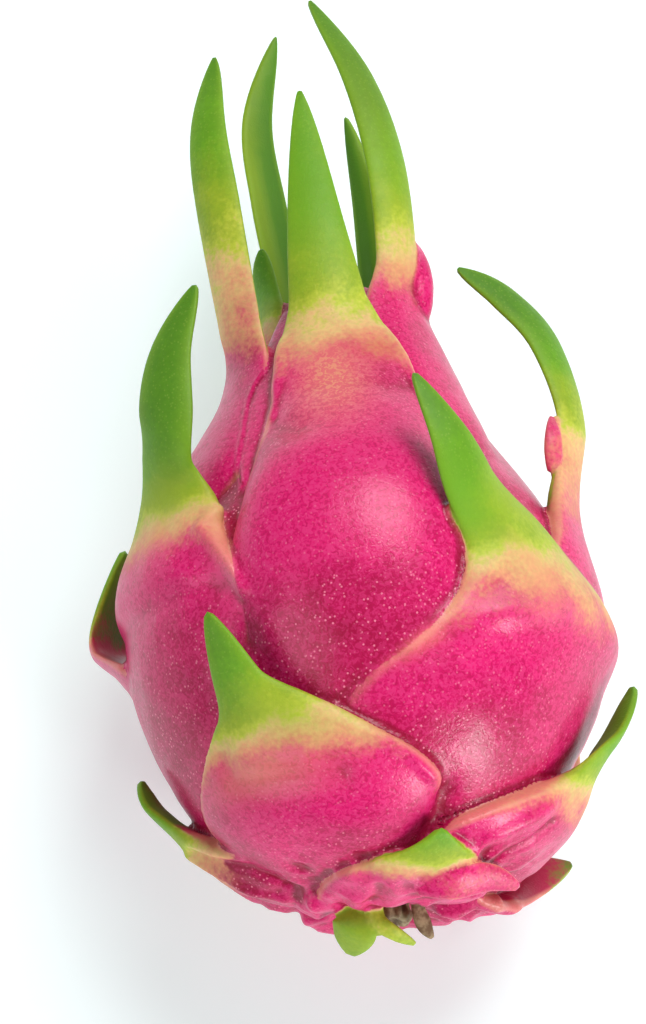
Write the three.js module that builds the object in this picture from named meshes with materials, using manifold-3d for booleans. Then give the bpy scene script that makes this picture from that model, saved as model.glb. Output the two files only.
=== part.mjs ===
// Dragon fruit lying on its side: rind, leafy scales and the cut stalk, grown as one solid.
// Millimetres. +Y runs along the fruit from stalk to crown, +Z is up, and the origin is the centre
// of the small flat spot that the fruit rests on.
import * as THREE from "three";
import { mergeVertices } from "three/addons/utils/BufferGeometryUtils.js";
import Module from "manifold-3d";

const wasm = await Module();
wasm.setup();

// ---- Driving dimensions -------------------------------------------------------------------

const AXIS_HEIGHT = 42.8; // the fruit's axis lies this high above the table
const REST_ALONG = 52; // the flat spot is this far from the stalk end, along the axis
const ROUND_STEPS = 44; // sides of the bare rind
const PROFILE_STEPS = 30; // rings of the bare rind

// The bare rind under its scales: [distance along the axis, radius], from stalk pit to crown navel.
const RIND_PROFILE = [
  [4.5, 0],
  [2.4, 5],
  [1.8, 10],
  [6.0, 19.5],
  [15.5, 30],
  [30, 37.3],
  [48, 40],
  [65, 37.2],
  [81, 28],
  [95, 19.5],
  [107, 14],
  [115, 10],
  [114.5, 5],
  [110, 0],
];

// A scale is a broad cushion that swells out of the rind and ends in a free green tongue.
// along, around: where the tongue leaves the rind, in mm from the stalk end and in degrees round the
//   axis (0 is the top of the lying fruit, + towards +X).
// cushion: [length down from there, half width]; lean: degrees that it is turned aside from the root;
// neck: share of its length over which the shoulders draw in; lift: how far they stand over the rind.
// tongue: the outer midrib as [sideways, outwards, forwards] from the root, ending at the tip.
// width: the tongue's half width; taper: 1 for a plain triangle, 3 for a long blade;
// channel: how strongly it is rolled across, 1/mm; twist: degrees that its face turns by the tip.
const SCALES = [
  // crown
  { name: "hook", along: 110, around: 49, cushion: [46, 14], lean: 0, neck: 0.4, lift: 3.5, width: 4.8,
    taper: 3, channel: 0.14, twist: -30, tongue: [[-0.4, 1.4, 8], [-2, 1.2, 27], [-2.6, -4.4, 46], [-3.5, -15, 65]] },
  { name: "rear_left_blade", along: 111, around: -136, cushion: [42, 13], lean: 0, neck: 0.4, lift: 3.2, width: 5.2,
    taper: 3.4, channel: 0.2, twist: -30, tongue: [[0, 2, 9], [0, 4.5, 28], [-1.2, 6, 47], [-3.5, 1, 65]] },
  { name: "rear_right_blade", along: 112, around: 146, cushion: [44, 13], lean: 0, neck: 0.4, lift: 3.0, width: 5,
    taper: 2.4, channel: 0.2, twist: 10, tongue: [[0.5, 1, 9], [2.0, 1, 28], [3.4, -2.5, 45]] },
  { name: "rear_left_short", along: 104, around: -106, cushion: [40, 12], lean: 0, neck: 0.4, lift: 3.2, width: 5,
    taper: 1.6, channel: 0.12, twist: 40, tongue: [[0, 0.5, 7], [0, 0.5, 14], [0, -2, 24]] },
  // upper
  { name: "left_tall", along: 95, around: -59, cushion: [58, 17], lean: 0, neck: 0.35, lift: 3.8, width: 6.2,
    taper: 3, channel: 0.11, twist: 38, tongue: [[0.5, 1.2, 11], [0.4, 3.2, 32], [-1.2, 3, 50], [-3.8, -1.5, 67]] },
  { name: "front_tall", along: 97, around: -5.5, cushion: [79, 22], lean: 0, neck: 0.45, lift: 5.6, width: 8.4,
    taper: 1.9, channel: 0.09, twist: 0, tongue: [[-0.6, -1, 10], [-1.8, -1.8, 26], [-3.2, -6, 52]] },
  { name: "right_hook", along: 67, around: 78, cushion: [54, 18], lean: 0, neck: 0.3, lift: 3.4, width: 4.8,
    taper: 3, channel: 0.16, twist: -35, tongue: [[0.8, 3, 17], [1.0, -1, 34], [0.5, -8.5, 44], [-0.2, -17, 50.5]] },
  // middle
  { name: "left", along: 66, around: -45, cushion: [60, 27], lean: -6, neck: 0.55, lift: 5.4, width: 7.2,
    taper: 2.4, channel: 0.1, twist: 28, tongue: [[-1, 2.5, 9], [-0.4, 4, 21], [4, -1.7, 41.5]] },
  { name: "right", along: 56, around: 31, cushion: [58, 29], lean: 8, neck: 0.5, lift: 5.4, width: 6.6,
    taper: 2, channel: 0.1, twist: 0, tongue: [[-1, 1.6, 4], [-4, 3, 11], [-8.8, 3, 19.5], [-13.5, 1, 29.5]] },
  { name: "left_flared", along: 52, around: -104, cushion: [34, 18], lean: 0, neck: 0.3, lift: 6, width: 8,
    taper: 2, channel: 0.06, twist: 0, tongue: [[0, 4.6, 6], [0, 3.2, 13], [0, -3, 24]] },
  // lower
  { name: "lower_left", along: 28, around: -25, cushion: [36, 21], lean: 28, neck: 0.26, lift: 5.4, width: 6.8,
    taper: 1.7, channel: 0.1, twist: 0, tongue: [[-1.8, 3, 5], [-7, 7, 19]] },
  { name: "lower_right", along: 18, around: 75, cushion: [27, 21], lean: -8, neck: 0.35, lift: 6.2, width: 6,
    taper: 2, channel: 0.14, twist: 15, tongue: [[0, 3, 6], [2, 7, 12], [4.6, 10.5, 21.5]] },
  { name: "lower_far_left", along: 14, around: -77, cushion: [24, 17], lean: 0, neck: 0.3, lift: 4.0, width: 5,
    taper: 2.2, channel: 0.16, twist: -40, tongue: [[-1, 3.5, 4], [-3, 8, 8.5], [-4.8, 10, 14.5]] },
  { name: "foot_front", along: 5, around: 20, cushion: [13, 17], lean: 0, neck: 0.5, lift: 4.4, width: 12,
    taper: 1, channel: 0.04, twist: 0, tongue: [[0.4, 3, 3], [0.8, 5, 8.5]] },
  { name: "foot_right", along: 4.5, around: 120, cushion: [12, 12], lean: 0, neck: 0.5, lift: 3.4, width: 6.8,
    taper: 1.3, channel: 0.08, twist: 40, tongue: [[0, 6, 1.5], [0, 13, 5], [0, 21, 9.5]] },
  // underside and back
  { name: "under_foot", along: 6, around: -160, cushion: [16, 15], lean: 0, neck: 0.4, lift: 3.5, width: 6,
    taper: 1.4, channel: 0.06, twist: 0, tongue: [[0, 3, 4], [0, 6, 11]] },
  { name: "under_low_left", along: 22, around: -155, cushion: [34, 19], lean: 0, neck: 0.4, lift: 4.0, width: 5.5,
    taper: 1.6, channel: 0.06, twist: 0, tongue: [[0, 2, 7], [0, 1.5, 18]] },
  { name: "under_low_right", along: 32, around: 126, cushion: [40, 20], lean: 0, neck: 0.4, lift: 4.4, width: 5.5,
    taper: 1.8, channel: 0.06, twist: 0, tongue: [[0, 2, 9], [0, 1, 22]] },
  { name: "under_middle", along: 66, around: 178, cushion: [56, 22], lean: 0, neck: 0.4, lift: 4.6, width: 6,
    taper: 1.8, channel: 0.06, twist: 0, tongue: [[0, -1.5, 9], [0, -6, 25]] },
  { name: "under_upper_left", along: 76, around: -140, cushion: [56, 19], lean: 0, neck: 0.4, lift: 4.0, width: 5.6,
    taper: 2.2, channel: 0.1, twist: 0, tongue: [[0, 0, 10], [0, -2, 22], [0, -8, 34]] },
  { name: "under_upper_right", along: 86, around: 150, cushion: [54, 18], lean: 0, neck: 0.4, lift: 4.0, width: 5.4,
    taper: 2.4, channel: 0.1, twist: 0, tongue: [[0, 0, 12], [0, -1, 26], [0, -4, 41]] },
];

// Puckers of skin fused to the fruit, beside the roots of some scales and round the stalk:
// [along the axis, around, distance from the axis] and [half length, half width, half height].
const PUCKERS = [
  { name: "hook_fold", at: [116, 68, 12.5], size: [8, 4, 5] },
  { name: "left_tall_fold", at: [100, -38, 18], size: [7, 3, 3] },
  { name: "right_hook_fold", at: [78, 70, 38], size: [8, 2, 2.6] },
  { name: "stalk_fold_1", at: [3.2, -65, 12], size: [3, 6, 4.4] },
  { name: "stalk_fold_2", at: [2.8, -12, 12], size: [3, 6.4, 4.6] },
  { name: "stalk_fold_3", at: [3.2, 48, 12], size: [3, 6, 4.4] },
  { name: "stalk_fold_4", at: [2.8, 100, 12], size: [3, 6.4, 4.6] },
  { name: "stalk_fold_5", at: [3.2, 165, 12], size: [3, 6.8, 4.4] },
  { name: "stalk_fold_6", at: [2.8, -125, 12], size: [3, 6.4, 4.6] },
  { name: "stalk_leaf", at: [-1.4, -42, 8], size: [4.4, 3.4, 1.6] },
  { name: "stalk_bud", at: [-0.8, 35, 7], size: [3.4, 3.8, 1.6] },
];

// A scale along its length: q = -1 at the cushion's foot, 0 at the tongue's root, 1 at the tip.
const CUSHION_STATIONS = [-1, -0.84, -0.68, -0.54, -0.42, -0.3, -0.2, -0.1];
const LEAST_TONGUE_STEPS = 4;
const TONGUE_STEP = 11; // mm of a tongue's length to each further step
const ROUND_ACROSS = 6; // steps across a scale

const FOOT_DEPTH = 1.5; // a cushion's foot starts this far under the rind
const ROOT_SINK = 3.2; // and its hidden underside stays this far under it
const MARGIN = 1.0; // thickness of a scale's edge
const FLESH = 4.0; // thickness of a tongue's middle at its root
const TIP_FLESH = 1.4; // and at its tip
const TIP_WIDTH = 0.08; // a tongue's width at its tip, as a share of its full width
const ROOT_SPREAD = 0.3; // and how much wider than that it is at its root
const RIM_SHARE = 0.08; // the stalk pit's rim, as a share of the way over the rind
const MOST_BEND = 1.2; // a section is rolled by at most this many radians to each side
const SMALLEST_RADIUS = 13; // near the poles a cushion's width counts as if the rind were this wide

const STALK = { radius: 4.2, from: 8, to: -1, sides: 14 };
const FLOWER_SCAR = { radius: 4, from: 104, to: 114, sides: 12 };

// ---- Small helpers ------------------------------------------------------------------------

const rind = new THREE.SplineCurve(RIND_PROFILE.map(([along, radius]) => new THREE.Vector2(along, radius)));
rind.arcLengthDivisions = 600;
const RIND_LENGTH = rind.getLength();

const clamp01 = (x) => Math.min(1, Math.max(0, x));
const smooth = (x) => clamp01(x) ** 2 * (3 - 2 * clamp01(x));

// Smooth curve through values at uneven knots; the values are numbers or arrays of numbers.
function through(knots, values, q) {
  if (Array.isArray(values[0])) return values[0].map((_, axis) => through(knots, values.map((v) => v[axis]), q));
  let i = 0;
  while (i < knots.length - 2 && q > knots[i + 1]) i++;
  const slope = (k) => {
    if (k === 0) return (values[1] - values[0]) / (knots[1] - knots[0]);
    if (k === knots.length - 1) return (values[k] - values[k - 1]) / (knots[k] - knots[k - 1]);
    const before = (values[k] - values[k - 1]) / (knots[k] - knots[k - 1]);
    const after = (values[k + 1] - values[k]) / (knots[k + 1] - knots[k]);
    const share = (knots[k + 1] - knots[k]) / (knots[k + 1] - knots[k - 1]);
    return before * share + after * (1 - share);
  };
  const step = knots[i + 1] - knots[i];
  const u = (q - knots[i]) / step;
  const rise = u * u * (3 - 2 * u);
  const tangents = step * (slope(i) * (u ** 3 - 2 * u * u + u) + slope(i + 1) * (u ** 3 - u * u));
  return values[i] * (1 - rise) + values[i + 1] * rise + tangents;
}

// A point over the rind: along is mm from the stalk pole over the rind, around is in radians.
function overRind(along, around, height) {
  const u = clamp01(along / RIND_LENGTH);
  const point = rind.getPointAt(u);
  const run = rind.getTangentAt(u);
  const radius = point.y + run.x * height;
  return new THREE.Vector3(
    radius * Math.sin(around),
    point.x - run.y * height - REST_ALONG,
    AXIS_HEIGHT + radius * Math.cos(around),
  );
}

// How far over the rind from the stalk pole its flank is at a distance along the axis.
function overTo(distance) {
  let u = RIM_SHARE;
  while (u < 1 && rind.getPointAt(u).x < distance) u += 0.001;
  return u * RIND_LENGTH;
}

// ---- Scales -------------------------------------------------------------------------------

// A scale's midrib, centre angle, half width and height as functions of q.
function scaleShape(scale) {
  const around = THREE.MathUtils.degToRad(scale.around);
  const lean = THREE.MathUtils.degToRad(scale.lean);
  const start = overTo(scale.along);
  const [length, halfWidth] = scale.cushion;
  const alongAt = (q) => start + q * length;
  const aroundAt = (q) => around + lean * smooth(-q / 0.6);
  const heightAt = (q) => THREE.MathUtils.lerp(-FOOT_DEPTH, scale.lift, Math.sin((Math.PI / 2) * clamp01(1 + q)));
  const side = new THREE.Vector3(Math.cos(around), 0, -Math.sin(around));
  const outwards = new THREE.Vector3(Math.sin(around), 0, Math.cos(around));
  const run = rind.getTangentAt(start / RIND_LENGTH);
  const facing = outwards.clone().multiplyScalar(run.x).addScaledVector(new THREE.Vector3(0, 1, 0), -run.y);
  const cushionPoint = (q) => overRind(alongAt(q), aroundAt(q), heightAt(q)).toArray();
  const root = overRind(start, around, scale.lift);
  const tonguePoint = ([sideways, out, forwards]) =>
    root.clone().addScaledVector(side, sideways).addScaledVector(outwards, out)
      .add(new THREE.Vector3(0, forwards, 0)).toArray();
  const knots = [-0.12, -0.06, 0, ...scale.tongue.map((_, i) => (i + 1) / scale.tongue.length)];
  const points = [cushionPoint(-0.12), cushionPoint(-0.06), root.toArray(), ...scale.tongue.map(tonguePoint)];
  const midrib = (q) => new THREE.Vector3(...(q <= -0.06 ? cushionPoint(q) : through(knots, points, q)));
  const tongueWidth = (q) => {
    const blade = (1 - q ** scale.taper) ** 0.75;
    return scale.width * (TIP_WIDTH + (1 - TIP_WIDTH) * blade) * (1 + ROOT_SPREAD * (1 - q) ** 6);
  };
  const cushionWidth = (q) => {
    const belly = Math.sqrt(Math.max(0, 1 - ((-q - scale.neck) / (1.12 - scale.neck)) ** 2));
    const shoulder = THREE.MathUtils.lerp(tongueWidth(0), halfWidth, clamp01(-q / scale.neck) ** 0.85);
    return -q > scale.neck ? halfWidth * belly : shoulder;
  };
  return { alongAt, aroundAt, heightAt, midrib, facing, widthAt: (q) => (q < 0 ? cushionWidth(q) : tongueWidth(q)) };
}

// One ring round a scale at q: its outer face from left to right, then its inner face back again.
function scaleRing(scale, shape, q) {
  const { alongAt, aroundAt, heightAt, midrib, facing: rootFacing } = shape;
  const centre = midrib(q);
  const ahead = midrib(Math.min(1, q + 0.02)).sub(midrib(Math.max(-1, q - 0.02))).normalize();
  const twist = THREE.MathUtils.degToRad(scale.twist * clamp01(q));
  const normal = rootFacing.clone().addScaledVector(ahead, -rootFacing.dot(ahead)).normalize();
  normal.applyAxisAngle(ahead, twist);
  const across = ahead.clone().cross(normal);
  const along = alongAt(q);
  const around = aroundAt(q);
  const wrapRadius = Math.max(SMALLEST_RADIUS, rind.getPointAt(clamp01(along / RIND_LENGTH)).y);
  const free = smooth((q + 0.2) / 0.3);
  const halfWidth = shape.widthAt(q);
  const height = heightAt(q);
  const edgeDrop = through([-1, -0.5, -0.15, 0, 1], [0.5, 2.6, 1.6, 1, 1], Math.min(q, 0));
  const wrapBend = 1 / (wrapRadius + height);
  const roll = Math.min(THREE.MathUtils.lerp(wrapBend, scale.channel, smooth(q / 0.3)), MOST_BEND / halfWidth);
  const flesh = q > 0 ? THREE.MathUtils.lerp(FLESH, TIP_FLESH, q) : FLESH;

  const outerAndInner = (t) => {
    // Wrapped on the rind, as a cushion is.
    const turn = (t * halfWidth) / wrapRadius;
    const over = (h) => overRind(along, around + turn, h).sub(overRind(along, around, height));
    const edgeHeight = height - edgeDrop * Math.abs(t) ** 2.2;
    const wrapped = q < 0.15 ? [over(edgeHeight), over(Math.min(edgeHeight - MARGIN, -ROOT_SINK))] : null;
    // Free, as a tongue is: an arc across the midrib.
    const bend = t * halfWidth * roll;
    const facing = normal.clone().multiplyScalar(Math.cos(bend)).addScaledVector(across, Math.sin(bend));
    const arc = across.clone().multiplyScalar(Math.sin(bend) / roll)
      .addScaledVector(normal, (Math.cos(bend) - 1) / roll);
    const thick = MARGIN + (flesh - MARGIN) * (1 - t * t) * (q > 0.9 ? 0.6 : 1);
    const loose = [arc, arc.clone().addScaledVector(facing, -thick)];
    return loose.map((offset, k) => {
      const blended = wrapped ? wrapped[k].lerp(offset, free) : offset;
      return blended.add(centre);
    });
  };
  const steps = Array.from({ length: ROUND_ACROSS + 1 }, (_, i) => (2 * i) / ROUND_ACROSS - 1);
  const pairs = steps.map(outerAndInner);
  return [...pairs.map((pair) => pair[0]), ...pairs.map((pair) => pair[1]).reverse()];
}

// A closed solid from rings of equal count, with a fan over each end.
function solidOfRings(rings) {
  const count = rings[0].length;
  const middle = (ring) => ring.reduce((sum, p) => sum.add(p), new THREE.Vector3()).divideScalar(count);
  const points = [...rings.flat(), middle(rings[0]), middle(rings.at(-1))];
  const foot = points.length - 2;
  const tip = points.length - 1;
  const faces = [];
  for (let i = 0; i < count; i++) {
    const next = (i + 1) % count;
    for (let k = 0; k < rings.length - 1; k++) {
      const low = k * count;
      const high = low + count;
      faces.push(low + i, low + next, high + next, low + i, high + next, high + i);
    }
    const last = (rings.length - 1) * count;
    faces.push(next, i, foot, last + i, last + next, tip);
  }
  return solidOf(points, faces);
}

function solidOf(points, faces) {
  const mesh = new wasm.Mesh({
    numProp: 3,
    vertProperties: new Float32Array(points.flatMap((p) => p.toArray())),
    triVerts: new Uint32Array(faces),
  });
  return new wasm.Manifold(mesh);
}

function scaleSolid(scale) {
  const shape = scaleShape(scale);
  const tongueLength = scale.tongue.at(-1)[2];
  const steps = LEAST_TONGUE_STEPS + Math.round(tongueLength / TONGUE_STEP);
  const tongueStations = Array.from({ length: steps + 1 }, (_, i) => 1 - (1 - i / steps) ** 1.25);
  return solidOfRings([...CUSHION_STATIONS, ...tongueStations].map((q) => scaleRing(scale, shape, q)));
}

// ---- Rind, stalk and the whole ------------------------------------------------------------

// A three.js geometry as a solid, with its shared vertices merged.
function solidOfGeometry(geometry) {
  geometry.deleteAttribute("normal");
  geometry.deleteAttribute("uv");
  const merged = mergeVertices(geometry, 1e-4);
  return new wasm.Manifold(
    new wasm.Mesh({
      numProp: 3,
      vertProperties: new Float32Array(merged.attributes.position.array),
      triVerts: new Uint32Array(merged.index.array),
    }),
  );
}

function rindSolid() {
  const outline = rind.getSpacedPoints(PROFILE_STEPS).map((p) => new THREE.Vector2(p.y, p.x));
  outline[0].x = 0;
  outline.at(-1).x = 0;
  const lathe = new THREE.LatheGeometry(outline, ROUND_STEPS);
  lathe.translate(0, -REST_ALONG, AXIS_HEIGHT);
  return solidOfGeometry(lathe);
}

// A stub on the axis: the cut stalk, or what is left of the flower in the crown.
function stubSolid({ radius, from, to, sides }) {
  const stub = new THREE.CylinderGeometry(radius, radius, Math.abs(from - to), sides);
  stub.translate(0, (from + to) / 2 - REST_ALONG, AXIS_HEIGHT);
  return solidOfGeometry(stub);
}

function puckerSolid({ at: [along, degrees, radius], size: [halfLength, halfWidth, halfHeight] }) {
  const pucker = new THREE.SphereGeometry(1, 10, 7);
  pucker.scale(halfWidth, halfLength, halfHeight);
  pucker.translate(0, along - REST_ALONG, radius);
  pucker.rotateY(THREE.MathUtils.degToRad(degrees));
  pucker.translate(0, 0, AXIS_HEIGHT);
  return solidOfGeometry(pucker);
}

function fruitSolid() {
  const stubs = [STALK, FLOWER_SCAR].map(stubSolid);
  const pieces = [rindSolid(), ...stubs, ...PUCKERS.map(puckerSolid), ...SCALES.map(scaleSolid)];
  const grown = pieces.reduce((sum, piece) => sum.add(piece));
  const table = new THREE.BoxGeometry(400, 400, 100);
  table.translate(0, 0, -50);
  return grown.subtract(solidOfGeometry(table));
}

function geometryOf(solid) {
  const mesh = solid.getMesh();
  const geometry = new THREE.BufferGeometry();
  geometry.setAttribute("position", new THREE.BufferAttribute(mesh.vertProperties, 3));
  geometry.setIndex(new THREE.BufferAttribute(mesh.triVerts, 1));
  geometry.computeVertexNormals();
  return geometry;
}

const skin = new THREE.MeshStandardMaterial({ color: 0xd42a78, roughness: 0.45, metalness: 0 });
const fruit = new THREE.Mesh(geometryOf(fruitSolid()), skin);
fruit.name = "fruit";

const root = new THREE.Group();
root.add(fruit);

export default root;
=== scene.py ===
"""A whole dragon fruit lying on its side: pillow-like pink scales that end in green tongues."""

import math

import bpy
import numpy as np
from mathutils import Matrix, Vector, noise
from mathutils.bvhtree import BVHTree
from mathutils.interpolate import poly_3d_calc


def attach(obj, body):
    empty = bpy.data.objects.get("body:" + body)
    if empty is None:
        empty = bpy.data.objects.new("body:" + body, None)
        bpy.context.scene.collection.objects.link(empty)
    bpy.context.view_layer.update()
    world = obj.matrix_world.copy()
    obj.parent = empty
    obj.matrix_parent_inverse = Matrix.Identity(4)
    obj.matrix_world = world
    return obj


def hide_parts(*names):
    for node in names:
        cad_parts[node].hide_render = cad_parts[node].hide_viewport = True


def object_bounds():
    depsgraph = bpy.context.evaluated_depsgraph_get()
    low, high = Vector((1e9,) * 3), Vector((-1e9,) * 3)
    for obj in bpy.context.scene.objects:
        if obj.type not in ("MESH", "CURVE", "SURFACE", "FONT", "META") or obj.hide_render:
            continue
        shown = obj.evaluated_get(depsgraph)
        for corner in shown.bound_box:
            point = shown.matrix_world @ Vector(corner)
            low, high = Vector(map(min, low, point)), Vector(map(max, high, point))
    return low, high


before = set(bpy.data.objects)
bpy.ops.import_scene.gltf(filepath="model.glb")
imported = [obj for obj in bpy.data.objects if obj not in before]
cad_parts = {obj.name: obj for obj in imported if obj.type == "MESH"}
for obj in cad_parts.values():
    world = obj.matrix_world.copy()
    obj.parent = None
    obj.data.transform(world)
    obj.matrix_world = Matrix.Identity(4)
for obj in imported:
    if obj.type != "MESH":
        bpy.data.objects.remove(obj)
cad_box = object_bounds()

MM = 0.001

# ---- The fruit's measures, in millimetres and degrees ----

AXIS_HEIGHT = 42.8  # the fruit's axis lies this high above the table
REST_ALONG = 52.0  # the flat spot is this far from the stalk end, along the axis

# The bare rind under its scales: distance along the axis and radius, from stalk pit to crown navel.
RIND_PROFILE = (
    (4.5, 0), (2.4, 5), (1.8, 10), (6.0, 19.5), (15.5, 30), (30, 37.3), (48, 40),
    (65, 37.2), (81, 28), (95, 19.5), (107, 14), (115, 10), (114.5, 5), (110, 0),
)

# A scale is a broad cushion that swells out of the rind and ends in a free green tongue.
# along, around: where the tongue leaves the rind; cushion: length and half width; lean: how far its
# shoulders and its foot are turned aside; neck: share of its length over which the shoulders draw in,
# and flare: how late they do; lift: height over the rind; belly: how far its middle swells, and
# belly_span: where that starts, is full and ends (shares of its length); tongue: outer midrib as
# (sideways, outwards, forwards) from the root; width, taper, spread: the tongue's half width,
# pointedness, and how much wider it is at its root; channel, twist: roll across it, and turn of its face
# at the root and at the tip; cream: distance past the root where the skin is cream; fade: how slowly it
# turns green beyond that, and pink before it; pocket: how far past the root the inner face is crimson.
PLAIN_SCALE = dict(lean=(0, 0), neck=0.4, flare=0.85, belly=0, belly_span=(0.1, 0.4, 1.0),
                   spread=0.3, channel=0.06, twist=(0, 0), cream=0, pocket=0)

SCALES = [dict(PLAIN_SCALE, **row) for row in (
    # crown
    dict(name="hook", along=110, around=46, cushion=(46, 14), lift=3.5, belly=0.6, width=5.4, taper=3,
         channel=0.14, twist=(0, -30), cream=20, fade=(0.8, 2.2),
         tongue=((-0.4, 1.4, 8), (-2, 1.2, 27), (-2.6, -4.4, 46), (-3.5, -15, 65))),
    dict(name="rear_left_blade", along=111, around=-136, cushion=(42, 13), lift=3.2, belly=0.5,
         width=5.2, taper=3.4, channel=0.2, twist=(0, -30), cream=3, fade=(1.0, 0.8),
         tongue=((0, 0.6, 9), (0, 3.6, 28), (-1.2, 6, 47), (-3.5, 1, 65))),
    dict(name="rear_right_blade", along=112, around=146, cushion=(44, 13), lift=3.0, belly=0.5,
         width=5, taper=2.4, channel=0.2, twist=(0, 10), cream=3, fade=(0.9, 0.8),
         tongue=((0.5, 1, 9), (2.0, 1, 28), (3.4, -2.5, 45))),
    dict(name="rear_left_short", along=110, around=-86, cushion=(40, 12), lift=2.0, belly=0.5,
         width=4.8, taper=1.8, channel=0.12, twist=(20, 60), cream=-2, fade=(0.5, 0.5),
         tongue=((0, 0.3, 6), (0, 0, 11), (0, -0.5, 16.5))),
    # upper
    dict(name="left_tall", along=95, around=-59, cushion=(58, 17), lean=(-5, -15), neck=0.35, lift=3.8,
         belly=1.0, width=6.2, taper=3, channel=0.11, twist=(0, 38), cream=25, fade=(1.5, 2.4),
         tongue=((0.5, 1.2, 11), (0.4, 3.2, 32), (-1.2, 3, 50), (-3.8, -1.5, 67))),
    dict(name="front_tall", along=97, around=-5.5, cushion=(79, 22), lean=(5, 3), neck=0.55, flare=1.4,
         lift=5.6, belly=2.8, belly_span=(0.08, 0.5, 1.0), width=8.4, taper=1.9, channel=0.09, cream=6,
         fade=(2.4, 1.5), tongue=((-0.6, -1, 10), (-1.8, -1.8, 26), (-3.2, -6, 52))),
    dict(name="right_hook", along=67, around=78, cushion=(54, 18), neck=0.3, lift=3.4, belly=0.8,
         width=5.2, taper=3, channel=0.14, twist=(0, -70), cream=12, fade=(0.9, 2.0),
         tongue=((0.8, 3, 17), (1.0, -1, 34), (0.5, -8.5, 44), (-0.2, -17, 50.5))),
    # middle
    dict(name="left", along=67, around=-53, cushion=(52, 32.5), lean=(-16, -25), flare=0.55, lift=4.0,
         belly=3.5, belly_span=(0, 0.05, 0.31), width=7.2, taper=2.7, spread=0.35, channel=0.08,
         twist=(14, 34), cream=-1.5, fade=(0.8, 0.7),
         tongue=((0.8, 3.4, 7), (4.4, 5.0, 16), (5.8, 3.6, 28), (9.1, -1, 40.4))),
    dict(name="right", along=57.5, around=33.5, cushion=(58, 33.5), lean=(28, 0), flare=0.4, lift=4.4,
         belly=2.1, belly_span=(0, 0.06, 0.38), width=7.4, taper=1.7, spread=0.2, channel=0.1,
         twist=(-5, -15), cream=-4, fade=(1.1, 1.3),
         tongue=((-3.4, 1.4, 4), (-7.6, 2.8, 9.6), (-11.4, 3.2, 15.8), (-16.2, 1.2, 25.7))),
    dict(name="left_flared", along=46, around=-108, cushion=(28, 17), neck=0.3, lift=2.6, width=16.5,
         taper=1.6, channel=0.03, cream=21, fade=(0.4, 0.3), pocket=22,
         tongue=((1, 5.2, 5), (2, 7.6, 11), (3, 2, 28))),
    # lower
    dict(name="lower_left", along=28, around=-28, cushion=(36, 23.5), lean=(6.5, 1), neck=0.25,
         lift=5.4, belly=0.9, belly_span=(0.15, 0.5, 1.0), width=8.0, taper=1.6, channel=0.1,
         cream=-1.5, fade=(1.0, 0.55), tongue=((-1.2, 3, 5), (-4.4, 7, 19.5))),
    dict(name="lower_right", along=18, around=75, cushion=(27, 21), lean=(-8, -8), neck=0.35, lift=6.2,
         width=7, taper=2, channel=0.12, twist=(0, 50), cream=3, fade=(0.6, 0.8), pocket=6,
         tongue=((0, 3, 6), (2, 7, 12), (4.6, 10.5, 21.5))),
    dict(name="lower_far_left", along=14, around=-88, cushion=(24, 17), neck=0.3, lift=4.0, width=5.4,
         taper=2.2, channel=0.16, twist=(-10, -35), fade=(0.6, 0.9), pocket=7,
         tongue=((-1, 3.5, 4.4), (-3, 8, 10), (-4.8, 10, 16.5))),
    dict(name="foot_front", along=5, around=21, cushion=(13, 18), neck=0.5, lift=4.4, width=14,
         taper=0.8, channel=0.03, cream=5, fade=(0.45, 0.5), tongue=((0, 4.5, 1.5), (-0.8, 11, 7))),
    dict(name="foot_right", along=4.5, around=120, cushion=(12, 12), neck=0.5, lift=3.4, width=8.5,
         taper=1.3, channel=0.08, twist=(40, 75), cream=15, fade=(0.4, 0.5), pocket=19,
         tongue=((0, 6, 4), (0, 13, 7), (0, 21, 9.5))),
    # underside and back
    dict(name="under_foot", along=6, around=-160, cushion=(16, 15), lift=3.5, width=6, taper=1.4,
         cream=2, fade=(0.4, 0.5), tongue=((0, 3, 4), (0, 6, 11))),
    dict(name="under_low_left", along=22, around=-155, cushion=(34, 19), lift=4.0, width=5.5,
         taper=1.6, fade=(0.6, 0.6), tongue=((0, 2, 7), (0, 1.5, 18))),
    dict(name="under_low_right", along=32, around=126, cushion=(40, 20), lift=4.4, width=5.5,
         taper=1.8, fade=(0.7, 0.6), tongue=((0, 2, 9), (0, 1, 22))),
    dict(name="under_middle", along=66, around=178, cushion=(56, 22), lift=4.6, width=6, taper=1.8,
         fade=(0.8, 0.7), tongue=((0, -1.5, 9), (0, -6, 25))),
    dict(name="under_upper_left", along=76, around=-140, cushion=(56, 19), lift=4.0, belly=0.5,
         width=5.6, taper=2.2, channel=0.1, cream=1, fade=(0.9, 0.8),
         tongue=((0, 0, 10), (0, -2, 22), (0, -8, 34))),
    dict(name="under_upper_right", along=86, around=150, cushion=(54, 18), lift=4.0, belly=0.5,
         width=5.4, taper=2.4, channel=0.1, cream=2, fade=(0.9, 0.8),
         tongue=((0, 0, 12), (0, -1, 26), (0, -4, 41))),
)]

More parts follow.
